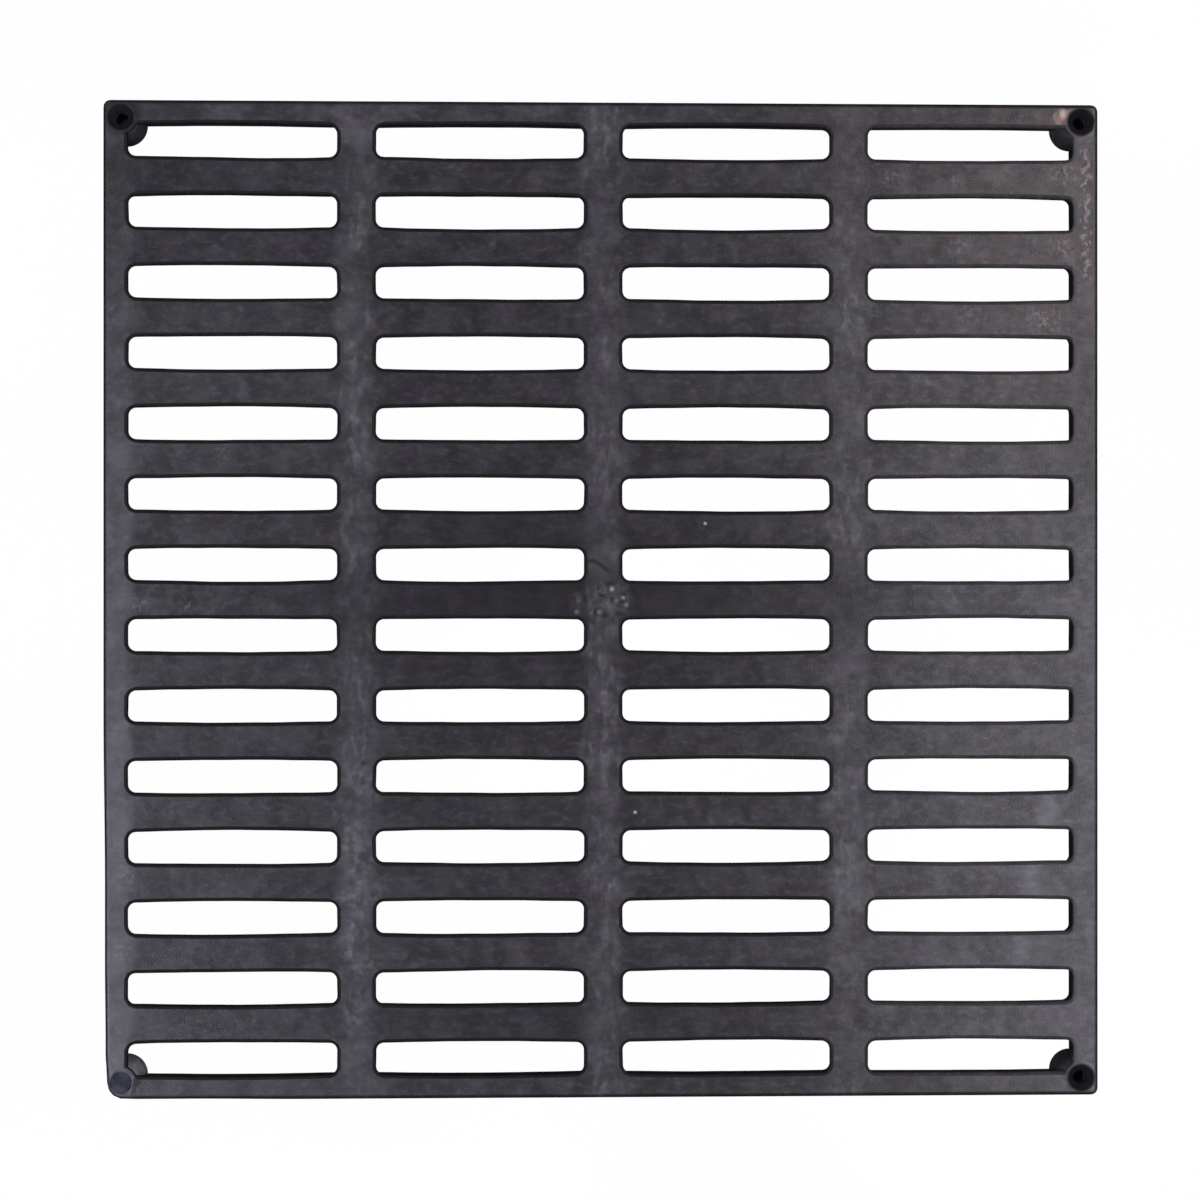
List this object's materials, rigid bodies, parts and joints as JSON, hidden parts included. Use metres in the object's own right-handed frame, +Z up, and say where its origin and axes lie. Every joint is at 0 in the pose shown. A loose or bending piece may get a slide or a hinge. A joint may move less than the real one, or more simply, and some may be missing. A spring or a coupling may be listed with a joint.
{
  "type": "drain grate",
  "caption": "Square one-piece moulded plastic drain grate with columns of short horizontal drainage slots and a countersunk screw hole in each corner.",
  "frame": {"origin": "middle of the square, on the underside that lies on the floor or on the frame's ledge", "axes": "+Z up through the walked-on top face, X along the slots, Y across them with row 1 at +Y"},
  "size_m": [0.285, 0.285, 0.02],
  "materials": {
    "grate": "dark grey moulded plastic, satin to matt, dusty and lightly scuffed on top"
  },
  "bodies": {
    "root": {"grate": "grate"}
  },
  "joints": []
}
